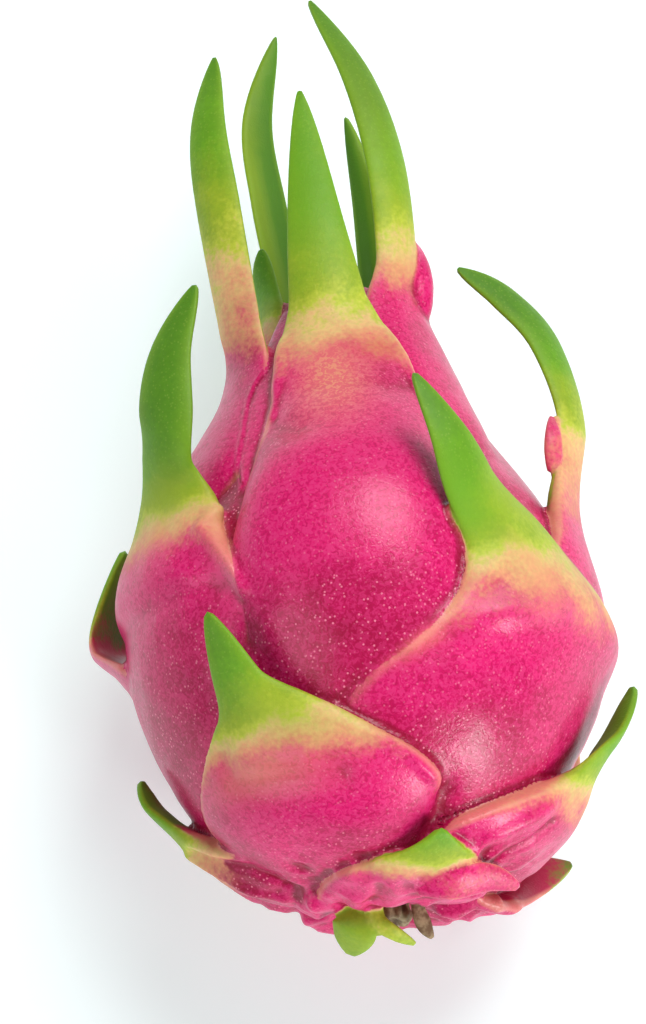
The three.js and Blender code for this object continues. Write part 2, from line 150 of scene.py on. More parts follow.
# Local changes of a scale's colour, some of them painted light and shade as marked: the tone, its place
# (distance past the root, and across from -1 to 1), its half size the same way, and its strength.
BLUSHES_LIGHT_AND_SHADE = dict(
    front_tall=[
        # partly the neck's own pale skin along its midrib, partly a painted highlight there
        ("salmon", (-9, -0.15), (12, 0.4), 0.9),
        ("rust", (-2, 0.6), (3.5, 0.4), 0.6),
        # painted shadow: crimson beside the right scale's tongue, where its shadow falls
        ("crimson", (-11, 0.62), (6, 0.35), 0.35),
        ("crimson", (-24, -0.75), (6, 0.3), 0.6),
        # painted shade: deeper crimson in the valley at the pillow's foot
        ("crimson", (-66, 0.1), (14, 0.8), 0.3),
        # painted light: a pool of light on the left half of the front scale's pillow
        ("painted_light", (-33, -0.25), (16, 0.8), 0.7),
        ("leaf", (38, 0), (12, 1.6), 0.8),
    ],
    rear_left_blade=[("olive", (36, 0.8), (32, 0.55), 0.6)],
    rear_right_blade=[("olive", (24, -0.85), (22, 0.4), 0.5)],
    right=[
        ("cream", (-6, -0.42), (6, 0.13), 0.6),
        ("cream", (-19, -0.95), (3, 0.07), 0.5),
        # painted highlight: a pale spot on the ridge below the tongue's root
        ("pale", (-12.5, -0.5), (2, 0.4), 0.55),
        ("crimson", (-9, -0.7), (3.5, 0.14), 0.5),
        ("crimson", (-7.5, 0), (4, 0.22), 0.6),
        ("olive", (3.5, 0.5), (8, 0.5), 0.6),
        ("leaf", (11, -0.7), (10, 0.7), 0.8),
        # painted shade: darkens the right cushion's strongly lit face
        ("crimson", (-24, 0.35), (13, 0.6), 0.3),
    ],
    hook=[
        ("olive", (38, -0.2), (24, 1.2), 0.3),
        ("cream", (14, 0.3), (5, 0.35), 0.5),
    ],
    lower_left=[
        ("cream", (-7, -0.3), (3.5, 0.5), 0.5),
        ("olive", (3, 0.4), (5, 0.4), 0.8),
    ],
    left=[
        ("cream", (-3, 0.3), (4, 0.25), 0.5),
        ("cream", (-6, 0.95), (7, 0.06), 0.7),
        ("pale", (-15, 0.93), (4, 0.12), 0.8),
        ("olive", (6, 0.2), (6, 0.7), 0.7),
    ],
    lower_far_left=[("crimson", (-5, 0.4), (9, 0.7), 1.0)],
    # painted light: lighter green on the flared tongue, mainly its poorly lit inner face
    left_flared=[("leaf", (32, 0), (6, 1.6), 0.6)],
    foot_front=[("pale", (1, 0), (2.5, 1.2), 0.6)],
)

# Soft folds and grooves on a scale: half width, height, which is below zero for a groove, and the points
# that they run along as (distance past the root, place across).
FOLDS = dict(
    front_tall=[
        (3.0, -0.8, ((-13, -0.97), (-20, -0.8), (-24, -0.5))),
        (3.4, -0.35, ((-9, 0.95), (-12, 0.75), (-15, 0.5))),
        (1.2, 0.6, ((3, -0.9), (-6, -0.92), (-16, -0.94))),
        (1.2, 0.6, ((3, 0.9), (-6, 0.92), (-16, 0.94))),
    ],
    right=[
        (2.2, 0.45, ((-9.5, 0.0), (-11.5, -0.3), (-13.5, -0.55), (-15, -0.85))),
        (2.8, -0.4, ((-13, 0.1), (-16, -0.25), (-18, -0.55))),
        (2.0, 0.4, ((-4, -0.93), (-12, -0.95), (-20, -0.97))),
        (2.4, -0.3, ((-6, -0.75), (-13, -0.82), (-20, -0.86))),
    ],
    left=[
        (1.4, 1.3, ((-1, 0.9), (-5, 0.93), (-12, 0.95), (-17, 0.96))),
        (2.2, -0.4, ((-4, 0.6), (-11, 0.74), (-16, 0.8))),
    ],
    lower_left=[
        (2.2, -0.5, ((-3, -0.8), (-7.5, -0.5), (-9, -0.1), (-9, 0.3))),
        (2.0, 0.35, ((-3, -0.55), (-5.5, -0.3), (-6.5, 0.1))),
        (1.2, 0.7, ((-2, 0.8), (-7, 0.86), (-11, 0.9))),
        (2.4, -1.0, ((-15, 1.0), (-20, 0.95), (-27, 0.85))),
    ],
    lower_right=[
        (1.4, 0.7, ((-2, -0.5), (-9, -0.6), (-18, -0.6))),
        (1.2, -0.7, ((-4, -0.2), (-11, -0.3), (-18, -0.3))),
    ],
    lower_far_left=[
        (1.1, 0.8, ((2, 0.2), (-7, 0.25), (-15, 0.3))),
        (1.6, -1.4, ((1, 0.6), (-7, 0.6), (-15, 0.6))),
    ],
)

# Round puckers of skin at the stalk: along, around, and their half sizes across and out.
STALK_FOLDS = (
    (3.2, -65, 6, 4.4), (2.8, -12, 6.4, 4.6), (3.2, 48, 6, 4.4),
    (2.8, 100, 6.4, 4.6), (3.2, 165, 6.8, 4.4), (2.8, -125, 6.4, 4.6),
)
# All puckers: place as (along, around, distance from the axis), half sizes as (along, across, out), and
# how green they are.
PUCKERS = [dict(name="hook_fold", at=(115.5, 67, 13.5), size=(10, 3.8, 5.0), green=-14)]
PUCKERS += [dict(name=f"stalk_fold_{k}", at=(along, around, 12), size=(3, across, out), green=-20)
            for k, (along, around, across, out) in enumerate(STALK_FOLDS, 1)]

# Little leaves left at the stalk, and leaf-like folds of skin: midrib as places (along, around, distance
# from the axis), the way their outer face looks, half width, thickness, roll across, how green they are,
# and how woody if they are.
LEAFLETS = (
    dict(name="crown_fold",
         path=((112, -36, 12), (104, -34, 16.5), (93, -33, 23), (80, -33, 29.5), (70, -33, 34)),
         facing=(-0.5, 0.1, 0.85), half_width=5.5, thickness=3.0, roll=0.05, green=-24),
    dict(name="right_hook_fold",
         path=((75.5, 71.5, 37.4), (79, 69.3, 38.3), (82.5, 69.3, 38.5), (86.5, 73, 37.6)),
         facing=(0.3, -0.2, 0.9), half_width=1.7, thickness=1.6, roll=0.25, green=-7),
    dict(name="stalk_leaf", path=((2.0, -35, 8), (-2.5, -38, 9), (-4.6, -62, 7), (-5.8, -100, 6.5)),
         facing=(-0.3, -0.5, 0.8), half_width=4.2, thickness=1.2, roll=0.1, green=9),
    dict(name="stalk_curl", path=((2.0, -10, 8.5), (-2.4, -8, 8.5), (-4.6, 15, 7), (-5.4, 65, 5.5)),
         facing=(0.2, -0.7, 0.7), half_width=1.5, thickness=1.2, roll=0.6, green=4),
    dict(name="foot_fold", path=((1.5, 15, 19), (1.0, 30, 23), (2.0, 46, 25), (1.2, 62, 26.5)),
         facing=(0.2, -0.6, 0.8), half_width=3.2, thickness=1.6, roll=0.12, green=-9),
    dict(name="stalk_shred", path=((2.0, 50, 7), (-2.0, 60, 7.5), (-4.6, 80, 8.0)),
         facing=(0.6, -0.6, 0.5), half_width=1.6, thickness=1.1, roll=0.2, green=3, woody=1),
)

STALK = dict(name="stalk", radius=4.2, low=-1.0, high=8.0)
FLOWER_SCAR = dict(name="flower_scar", radius=4.0, low=104.0, high=114.0)
STUB_INSETS = (0.3, 0.25)  # their ends are set in twice, by these shares of their radius
STUB_SINK = 0.9  # and sunk this deep

FOOT_DEPTH = 1.5  # a cushion's foot starts this far under the rind
ROOT_SINK = 3.2  # and its hidden underside stays this far under it
MARGIN = 1.1  # thickness of a scale's edge
FLESH = 4.0  # thickness of a tongue's middle at its root
TIP_FLESH = 1.4  # and at its tip
TIP_WIDTH = 0.02  # a tongue's width at its tip, as a share of its full width
FOOT_ROUND = 1.12  # a cushion's rounded foot would close this many lengths from its root
JOIN = 0.06  # the midrib bends into its tongue over this share of the cushion's length
FLOW_REACH = 7.0  # shoulders flow into the tongue this far from the root, and fade out as far again
FLOW_ROUNDS = 40
RIM_SHARE = 0.08  # the stalk pit's rim, as a share of the way over the rind
MOST_BEND = 1.2  # a section is rolled by at most this many radians to each side
SMALLEST_RADIUS = 13.0  # near the poles a cushion's width counts as if the rind were this wide

# How far a scale's edge lies below its middle, at places from its foot (-1) to its root (0) and on.
EDGE_DROPS = ((-1, 0.5), (-0.5, 2.6), (-0.15, 1.6), (0, 1), (1, 1))

ACROSS_STEPS = 30  # fine steps across a scale
CUSHION_STEPS = 44  # fine steps along its cushion
TONGUE_STEP = 1.0  # length of a fine step along its tongue
GLANCE = 0.02  # a midrib's direction is read this far before and after a place on it
LEAFLET_STEPS = (16, 20)  # steps across and along a leaflet
RIND_STEPS = (120, 99)  # steps round and along the rind
GRAIN = 0.42  # grain of the skin when the scales are grown together
MOST_TRIANGLES = 194000
EXTRA_FLESH = 0.4  # thin blades are grown this much fatter all over, then drawn back in
BOX_SPARE = 1.5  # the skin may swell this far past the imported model's box
PINK = -40.0  # greening of skin that never turns green

MELT_ROUNDS = 10  # the body's points are averaged this often, which melts the cushions together
FEET_ROUNDS = 30  # and this often more where a cushion sinks into the rind
SEAM_ROUNDS = 4  # and this often where a tongue leaves its cushion
SOFT_ROUNDS = 3  # and this often to take the grain off
BROAD_ROUNDS = 60  # what is left after this many is the skin's broad form
CREASING = 0.7  # creases are deepened by this share of their depth
CREASE_LIMITS = (-1.2, 0.5)  # of the depths and heights that count as creases
SWELLS = ((0.40, 17, 1), (0.14, 6, 2))  # gentle swelling: height, size and seed
HOLLOWS = ((10, 1.2), (80, 0.5))  # how the skin's hollows are found: rounds of averaging and weight
PLEATS = 13  # how many pleats run round the stalk
PLEAT_DEPTH = 0.45  # their depth
PLEATED_ALONG = 10.0  # how far from the stalk end they reach
PLEATS_FADE = 7.0  # and over what length they fade out

# ---- Curves ----


def clamp01(x):
    return np.clip(x, 0.0, 1.0)


def smooth(x):
    x = clamp01(x)
    return x * x * (3 - 2 * x)


def lerp(a, b, share):
    return a + (b - a) * share


def through(knots, values, q):
    """A smooth curve through values (numbers or points) at uneven knots, read at one place q."""
    knots = np.asarray(knots, float)
    values = np.asarray(values, float)
    steps = np.diff(knots)
    rises = np.diff(values, axis=0) / (steps if values.ndim == 1 else steps[:, None])

    def slope(k):
        if k == 0 or k == len(knots) - 1:
            return rises[min(k, len(rises) - 1)]
        share = steps[k] / (steps[k] + steps[k - 1])
        return rises[k - 1] * share + rises[k] * (1 - share)

    i = int(np.clip(np.searchsorted(knots, q, side="left") - 1, 0, len(steps) - 1))
    u = (q - knots[i]) / steps[i]
    rise = u * u * (3 - 2 * u)
    tangents = steps[i] * (slope(i) * (u ** 3 - 2 * u * u + u) + slope(i + 1) * (u ** 3 - u * u))
    return values[i] * (1 - rise) + values[i + 1] * rise + tangents


def rind_curve():
    """The rind's profile as a fine line: length run, points and unit directions."""
    ends = np.array(RIND_PROFILE, float)
    padded = np.vstack([ends[:1], ends, ends[-1:]])
    u = np.linspace(0, 1, 60, endpoint=False)[:, None]
    rows = []
    for k in range(len(ends) - 1):
        before, start, end, after = padded[k:k + 4]
        leave = (end - before) / 2
        arrive = (after - start) / 2
        rows.append((2 * start - 2 * end + leave + arrive) * u ** 3
                    + (3 * end - 3 * start - 2 * leave - arrive) * u ** 2 + leave * u + start)
    points = np.vstack(rows + [ends[-1:]])
    run = np.concatenate([[0], np.cumsum(np.linalg.norm(np.diff(points, axis=0), axis=1))])
    ahead = np.gradient(points, run, axis=0)
    return run, points, ahead / np.linalg.norm(ahead, axis=1, keepdims=True)


RIND_RUN, RIND_POINTS, RIND_AHEAD = rind_curve()
RIND_LENGTH = RIND_RUN[-1]


def rind_at(along):
    """The profile's point (axis, radius) and direction at a length run over the rind."""
    return [[np.interp(along, RIND_RUN, rows[:, k]) for k in (0, 1)]
            for rows in (RIND_POINTS, RIND_AHEAD)]


def over_rind(along, around, height):
    """Points over the rind: along is run over it from the stalk pole, around is in radians."""
    (axis, radius), (run_axis, run_radius) = rind_at(along)
    far = radius + run_axis * height
    x = far * np.sin(around)
    y = axis - run_radius * height - REST_ALONG
    z = AXIS_HEIGHT + far * np.cos(around)
    return np.stack(np.broadcast_arrays(x, y, z), -1)


def over_to(distance):
    """How far over the rind from the stalk pole its flank is at a distance along the axis."""
    start = np.searchsorted(RIND_RUN, RIM_SHARE * RIND_LENGTH)
    return RIND_RUN[start + np.argmax(RIND_POINTS[start:, 0] >= distance)]


def unit(v):
    return v / np.linalg.norm(v, axis=-1, keepdims=True)


def turned(v, axis, angle):
    aside = np.cross(axis, v) * math.sin(angle)
    return v * math.cos(angle) + aside + axis * np.dot(axis, v) * (1 - math.cos(angle))


def directions(midrib, q, first, facing):
    """At q, from first to 1: the way a midrib runs and the way that its outer face looks."""
    ahead = unit(midrib(min(1, q + GLANCE)) - midrib(max(first, q - GLANCE)))
    return ahead, unit(facing - ahead * np.dot(facing, ahead))


def rolled(normal, across, offsets, roll):
    """A section rolled across: its points from its middle, and the way its outer face looks there."""
    bend = (offsets * roll)[:, None]
    arc = across * np.sin(bend) / roll + normal * (np.cos(bend) - 1) / roll
    return arc, normal * np.cos(bend) + across * np.sin(bend)


# ---- A scale ----


class ScaleShape:
    """A scale's form at q, which is -1 at the cushion's foot, 0 at the root and 1 at the tip."""

    def __init__(self, row):
        self.row = row
        self.around = math.radians(row["around"])
        self.start = over_to(row["along"])
        self.length, self.half_width = row["cushion"]
        side = np.array([math.cos(self.around), 0, -math.sin(self.around)])
        outwards = np.array([math.sin(self.around), 0, math.cos(self.around)])
        _, (run_axis, run_radius) = rind_at(self.start)
        self.facing = outwards * run_axis - np.array([0, 1, 0]) * run_radius
        root = over_rind(self.start, self.around, row["lift"])
        tongue = [root + side * s + outwards * o + np.array([0, f, 0]) for s, o, f in row["tongue"]]
        self.knots = [-2 * JOIN, -JOIN, 0] + [(i + 1) / len(tongue) for i in range(len(tongue))]
        self.points = [self.cushion_point(-2 * JOIN), self.cushion_point(-JOIN), root] + tongue
        self.tongue_length = float(np.linalg.norm(np.diff([root] + tongue, axis=0), axis=1).sum())

    def along_at(self, q):
        return self.start + q * self.length

    def lean_at(self, q):
        shoulders, foot = self.row["lean"]
        return math.radians(lerp(shoulders * smooth(-q / JOIN), foot, smooth((-q - 0.2) / 0.5)))

    def height_at(self, q):
        return lerp(-FOOT_DEPTH, self.row["lift"], math.sin(math.pi / 2 * clamp01(1 + q)))

    def belly_at(self, q):
        start, full, end = self.row["belly_span"]
        return self.row["belly"] * smooth((-q - start) / (full - start)) * smooth((1 + q / end) / 0.45)

    def cushion_point(self, q):
        return over_rind(self.along_at(q), self.around, self.height_at(q))

    def midrib(self, q):
        return self.cushion_point(q) if q <= -JOIN else through(self.knots, self.points, q)

    def width_at(self, q):
        row = self.row
        reach = max(q, 0.0)
        blade = (1 - reach ** row["taper"]) ** 0.75
        tongue = row["width"] * lerp(TIP_WIDTH, 1, blade) * (1 + row["spread"] * (1 - reach) ** 6)
        if q >= 0:
            return tongue
        neck = row["neck"]
        if -q > neck:
            return self.half_width * math.sqrt(max(0.0, 1 - ((-q - neck) / (FOOT_ROUND - neck)) ** 2))
        return lerp(tongue, self.half_width, (-q / neck) ** row["flare"])

    def distance_at(self, q):
        return q * (self.tongue_length if q > 0 else self.length)

    def place_of(self, distance):
        return distance / (self.tongue_length if distance > 0 else self.length)

    def ring(self, q, t, extra=0.0):
        """The outer and inner face across the scale at q, t from -1 to 1, with extra flesh all round."""
        centre = self.midrib(q)
        ahead, normal = directions(self.midrib, q, -1, self.facing)
        normal = turned(normal, ahead, math.radians(lerp(*self.row["twist"], clamp01(q))))
        across = np.cross(ahead, normal)
        along = self.along_at(q)
        (_, radius), _ = rind_at(min(along, RIND_LENGTH))
        wrap_radius = max(SMALLEST_RADIUS, radius)
        free = smooth((q + 0.2) / 0.3)
        half_width = self.width_at(q) + extra * free
        height = self.height_at(q)
        edge_drop = through(*zip(*EDGE_DROPS), min(q, 0))
        wrap_bend = 1 / (wrap_radius + height)
        roll = min(lerp(wrap_bend, self.row["channel"], smooth(q / 0.3)), MOST_BEND / half_width)
        flesh = lerp(FLESH, TIP_FLESH, q) if q > 0 else FLESH
        rim = 1 - np.sqrt(1 - np.abs(t) ** 12)

        offsets = t * half_width + self.lean_at(q) * wrap_radius
        turn = self.around + offsets / wrap_radius
        on_rib = over_rind(along, self.around, height)
        edge_height = height - edge_drop * np.abs(t) ** 2.2
        swollen = edge_height + self.belly_at(q) * (1 - t ** 4)
        wrapped = (over_rind(along, turn, swollen) - on_rib,
                   over_rind(along, turn, np.minimum(edge_height - MARGIN, -ROOT_SINK)) - on_rib)
        arc, facing = rolled(normal, across, offsets, roll)
        thick = MARGIN + (flesh - MARGIN) * (1 - t * t) * (0.6 if q > 0.9 else 1)
        half_rim = rim * (MARGIN / 2 + extra)
        loose = (arc + facing * (extra - half_rim)[:, None],
                 arc - facing * (thick + extra - half_rim)[:, None])
        reach = ahead * extra * smooth((q - 0.8) / 0.2)
        return [lerp(w, l, free) + centre + reach for w, l in zip(wrapped, loose)]


# What the skin's colours need to know at each point of it.
GREENING, ACROSS, INNER, DOWN, WOODY, SCALE_NUMBER, DISTANCE = range(7)
NO_SCALE = -1


def plain_notes(count, greening, woody=0.0, down=0.5):
    notes = np.zeros((count, 7))
    notes[:, GREENING] = greening
    notes[:, DOWN] = down
    notes[:, WOODY] = woody
    notes[:, SCALE_NUMBER] = NO_SCALE
    return notes


def greening_of(row, distance):
    """How far past cream the skin is, in millimetres of a plain scale: below zero it is pinker."""
    green_fade, pink_fade = row["fade"]
    past = distance - row["cream"]
    return past / (green_fade if past > 0 else pink_fade)


def once_round(outer, inner):
    """Over a blade's outer face, back over its inner face, and closed."""
    return np.concatenate([outer, inner[::-1], outer[:1]])


def scale_rings(row, extra):
    """A scale's rings, with their notes."""
    shape = ScaleShape(row)
    t = np.sin(np.linspace(-1, 1, ACROSS_STEPS + 1) * math.pi / 2)
    count = len(t)
    tongue_steps = int(shape.tongue_length / TONGUE_STEP)
    stations = np.concatenate([np.linspace(-1, 0, CUSHION_STEPS, endpoint=False),
                               1 - (1 - np.linspace(0, 1, tongue_steps + 1)) ** 1.25])
    rings = []
    notes = []
    for q in stations:
        outer, inner = shape.ring(q, t, extra)
        rings.append(once_round(outer, inner))
        distance = shape.distance_at(q)
        note = plain_notes(2 * count + 1, greening_of(row, distance), down=clamp01(-q))
        note[:, ACROSS] = once_round(t, t)
        note[count:2 * count, INNER] = 1
        note[count:2 * count, GREENING] = distance - row["pocket"]
        note[:, SCALE_NUMBER] = SCALES.index(row)
        note[:, DISTANCE] = distance
        notes.append(note)
    return flowing(np.array(rings), [shape.distance_at(q) for q in stations]), np.array(notes)


def flowing(rings, distances):
    """Let the shoulders flow into the tongue: rings near the root are averaged with their neighbours."""
    share = (1 - smooth((np.abs(distances) - FLOW_REACH) / FLOW_REACH))[1:-1, None, None]
    for _ in range(FLOW_ROUNDS):
        rings[1:-1] += share * ((rings[:-2] + rings[2:]) / 2 - rings[1:-1]) / 2
    return rings


# ---- Making meshes ----

grown = []  # what grew on the fruit, as (points, faces, notes), kept for colouring the skin


def deselect_all():
    for obj in bpy.context.selected_objects:
        obj.select_set(False)


def added(name, add, **settings):
    """Add something with nothing else selected, and name it."""
    deselect_all()
    add(**settings)
    new = bpy.context.active_object
    new.name = name
    return new


def apply_modifier(piece, kind, **settings):
    modifier = piece.modifiers.new(kind.title(), kind)
    for key, value in settings.items():
        setattr(modifier, key, value)
    bpy.ops.object.modifier_apply(modifier=modifier.name)


def read_all(items, field, width, kind=np.float32):
    """One field of all of a mesh's points, edges or triangles, as rows."""
    values = np.empty(len(items) * width, kind)
    items.foreach_get(field, values)
    return values.reshape(-1, width)


def points_of(piece):
    return read_all(piece.data.vertices, "co", 3).astype(float) / MM


def set_points(piece, points):
    piece.data.vertices.foreach_set("co", (points.reshape(-1) * MM).astype(np.float32))
    piece.data.update()


def normals_of(piece):
    return read_all(piece.data.vertices, "normal", 3).astype(float)


def triangles_of(piece):
    piece.data.calc_loop_triangles()
    return read_all(piece.data.loop_triangles, "vertices", 3, np.int32)


def edges_of(piece):
    return read_all(piece.data.edges, "vertices", 2, np.int32)


def go_to(mode):
    bpy.ops.object.mode_set(mode=mode)


def edit_all():
    go_to("EDIT")
    bpy.ops.mesh.select_all(action="SELECT")


def close_up():
    """Weld the doubled points of the piece being edited and turn its faces outwards."""
    edit_all()
    bpy.ops.mesh.remove_doubles(threshold=1e-6)
    bpy.ops.mesh.normals_make_consistent(inside=False)
    go_to("OBJECT")


def rolled_grid(name, rings, true_rings, notes):
    """A flat grid is added, laid in rings, and closed along its seam and at its two ends."""
    rows, columns = rings.shape[:2]
    piece = added(name, bpy.ops.mesh.primitive_grid_add,
                  x_subdivisions=columns - 1, y_subdivisions=rows - 1, size=1)
    set_points(piece, rings)
    grown.append((true_rings.reshape(-1, 3), triangles_of(piece), notes.reshape(-1, notes.shape[-1])))
    close_up()
    return piece


def keep_notes(piece, greening, woody=0.0):
    points = points_of(piece)
    grown.append((points, triangles_of(piece), plain_notes(len(points), greening, woody)))
    return piece


def make_blade(row, rings_of):
    """A thin blade is made fatter than it is; the skin is drawn back to its true rings later."""
    true_rings, notes = rings_of(row, 0.0)
    fat_rings, _ = rings_of(row, EXTRA_FLESH)
    for rings in (true_rings, fat_rings):
        for end in (0, -1):
            rings[end] = rings[end][:-1].mean(axis=0)
    return rolled_grid(row["name"], fat_rings, true_rings, notes)


def make_rind():
    round_steps, along_steps = RIND_STEPS
    around = np.linspace(0, 2 * math.pi, round_steps + 1)
    along = np.linspace(0, RIND_LENGTH, along_steps + 1)
    rings = over_rind(along[:, None], around[None], 0.0)
    notes = plain_notes(rings.shape[0] * rings.shape[1], PINK, down=0.7)
    return rolled_grid("rind", rings, rings, notes)


def leaflet_rings(row, extra):
    """A small leaf's rings: it is broadest past its middle and rolled across."""
    along, degrees, distance = np.array(row["path"]).T
    turn = np.radians(degrees)
    path = np.stack([distance * np.sin(turn), along - REST_ALONG,
                     AXIS_HEIGHT + distance * np.cos(turn)], -1)
    knots = np.linspace(0, 1, len(path))
    across_steps, along_steps = LEAFLET_STEPS
    t = np.sin(np.linspace(-1, 1, across_steps + 1) * math.pi / 2)
    rings = []
    for q in np.linspace(0, 1, along_steps + 1):
        ahead, normal = directions(lambda at: through(knots, path, at), q, 0, np.array(row["facing"]))
        across = np.cross(ahead, normal)
        share = (0.45 + 0.55 * math.sin(math.pi * q ** 0.8)) * (1 - q ** 6) ** 0.5
        half_width = row["half_width"] * share + extra
        arc, looks = rolled(normal, across, t * half_width, row["roll"])
        half_thick = (row["thickness"] / 2 + extra) * np.sqrt(1 - np.abs(t) ** 6)[:, None]
        centre = through(knots, path, q) + ahead * extra * smooth((q - 0.8) / 0.2)
        rings.append(once_round(centre + arc + looks * half_thick, centre + arc - looks * half_thick))
    notes = plain_notes(rings[0].shape[0] * len(rings), row["green"], row.get("woody", 0), down=0.0)
    notes[:, ACROSS] = np.tile(once_round(t, t), len(rings))
    notes[:, DISTANCE] = 20
    notes[:, SCALE_NUMBER] = len(SCALES)
    return np.array(rings), notes


def on_axis(along, degrees=0.0):
    """Where a piece grows along the fruit's axis: its place and turn, which go into its mesh."""
    lie = Matrix.Translation(Vector((0, (along - REST_ALONG) * MM, AXIS_HEIGHT * MM)))
    return lie @ Matrix.Rotation(math.radians(degrees), 4, "Y")


def make_pucker(row):
    along, degrees, distance = row["at"]
    half_length, half_width, half_height = (size * MM for size in row["size"])
    piece = added(row["name"], bpy.ops.mesh.primitive_uv_sphere_add, segments=32, ring_count=20, radius=1)
    edit_all()
    bpy.ops.transform.resize(value=(half_width, half_length, half_height))
    bpy.ops.transform.translate(value=(0, 0, distance * MM))
    go_to("OBJECT")
    piece.data.transform(on_axis(along, degrees))
    return keep_notes(piece, row["green"])


def make_stub(row):
    """A woody round stub on the axis, with worn edges and a sunken end."""
    radius, height = row["radius"] * MM, (row["high"] - row["low"]) * MM
    piece = added(row["name"], bpy.ops.mesh.primitive_cylinder_add,
                  vertices=24, radius=radius, depth=height, rotation=(math.pi / 2, 0, 0))
    bpy.ops.object.transform_apply(location=True, rotation=True, scale=True)
    go_to("EDIT")
    bpy.ops.mesh.select_mode(type="FACE")
    for end in (-1, 1):
        bpy.ops.mesh.select_all(action="DESELECT")
        go_to("OBJECT")
        for face in piece.data.polygons:
            face.select = face.center.y * end > 0.49 * height
        go_to("EDIT")
        for share in STUB_INSETS:
            bpy.ops.mesh.inset(thickness=radius * share)
        bpy.ops.transform.translate(value=(0, -end * STUB_SINK * MM, 0))
    bpy.ops.mesh.select_all(action="SELECT")
    bpy.ops.mesh.subdivide(number_cuts=2, fractal=0.25, seed=3)
    go_to("OBJECT")
    piece.data.transform(on_axis((row["low"] + row["high"]) / 2))
    return keep_notes(piece, PINK, woody=1.0)


def grow_together(pieces):
    """Join all that grew on the fruit and give it one skin."""
    deselect_all()
    for piece in pieces:
        piece.select_set(True)
    bpy.context.view_layer.objects.active = pieces[0]
    bpy.ops.object.join()
    whole = bpy.context.active_object
    apply_modifier(whole, "REMESH", mode="VOXEL", voxel_size=GRAIN * MM, use_smooth_shade=True)
    apply_modifier(whole, "SMOOTH", factor=0.5, iterations=4)
    return whole


def skin_notes(points):
    """For each point of the skin: the nearest place on what grew there, and its notes."""
    all_corners, all_triangles, all_notes = zip(*grown)
    notes = np.vstack(all_notes)
    offsets = np.cumsum([0] + [len(corners) for corners in all_corners])
    faces = np.vstack([triangles + offset for triangles, offset in zip(all_triangles, offsets)])
    corner_vectors = [Vector(corner) for corner in np.vstack(all_corners)]
    tree = BVHTree.FromPolygons(corner_vectors, faces.tolist())
    places = np.empty((len(points), 3))
    found = np.empty((len(points), notes.shape[1]))
    for k, point in enumerate(points):
        place, _, face, _ = tree.find_nearest(Vector(point))
        ids = faces[face]
        shares = poly_3d_calc([corner_vectors[i] for i in ids], place)
        found[k] = np.asarray(shares) @ notes[ids]
        places[k] = place
    return places, found


def averaged(values, edges, rounds):
    """Values averaged with those of their neighbours, again and again."""
    count = len(values)
    a, b = edges[:, 0], edges[:, 1]
    degree = np.bincount(a, minlength=count) + np.bincount(b, minlength=count)
    for _ in range(rounds):
        sums = [np.bincount(a, column[b], count) + np.bincount(b, column[a], count)
                for column in values.T]
        values = (values + np.stack(sums, -1) / degree[:, None]) / 2
    return values


def noise_over(points, size, seed):
    """Soft noise from -1 to 1 with features of a size, in millimetres."""
    shift = Vector((seed * 13.7, seed * 5.3, seed * 9.1))
    return np.array([noise.noise(Vector(p) / size + shift) for p in points])


def attribute(piece, name, values):
    layer = piece.data.attributes.new(name, "FLOAT", "POINT")
    layer.data.foreach_set("value", values.astype(np.float32))


def along_line(points, line):
    """Each point's distance from a line of points."""
    nearest = np.full(len(points), np.inf)
    for start, end in zip(line[:-1], line[1:]):
        step = end - start
        share = clamp01((points - start) @ step / (step @ step))
        nearest = np.minimum(nearest, np.linalg.norm(points - start - share[:, None] * step, axis=1))
    return nearest


def fold_heights(points):
    """How far the folds and grooves raise each point."""
    heights = np.zeros(len(points))
    for row in SCALES:
        shape = ScaleShape(row)
        for width, height, path in FOLDS.get(row["name"], ()):
            line = [shape.ring(shape.place_of(distance), np.array([t]))[0][0] for distance, t in path]
            heights += height * np.exp(-(along_line(points, line) / width) ** 2)
    return heights


def blush_strengths(notes, tone):
    """How strongly each point of the skin takes a tone."""
    strengths = np.zeros(len(notes))
    for number, row in enumerate(SCALES):
        here = np.abs(notes[:, SCALE_NUMBER] - number) < 0.5
        for blush, place, reach, strength in BLUSHES_LIGHT_AND_SHADE.get(row["name"], ()):
            if blush == tone:
                far = ((notes[:, [DISTANCE, ACROSS]] - place) / reach) ** 2
                strengths = np.maximum(strengths, here * strength * np.exp(-far.sum(axis=1)))
    return strengths


def melted(points, edges, notes, places):
    """The body's points melted together and its tongues drawn back to their true places."""
    tongue = smooth(notes[:, DISTANCE] / 8) * (notes[:, SCALE_NUMBER] > NO_SCALE)
    points = lerp(points, averaged(points, edges, MELT_ROUNDS), 1 - tongue[:, None])
    points = lerp(points, places, tongue[:, None])
    tongue = averaged(tongue[:, None], edges, SOFT_ROUNDS)[:, 0]
    seam = smooth(4 * tongue * (1 - tongue)) * smooth((np.abs(notes[:, DISTANCE]) - 4) / 2)
    points = lerp(points, averaged(points, edges, SEAM_ROUNDS), seam[:, None])
    feet = smooth((notes[:, DOWN] - 0.4) / 0.3)
    return lerp(points, averaged(points, edges, FEET_ROUNDS), feet[:, None] * 0.9), tongue


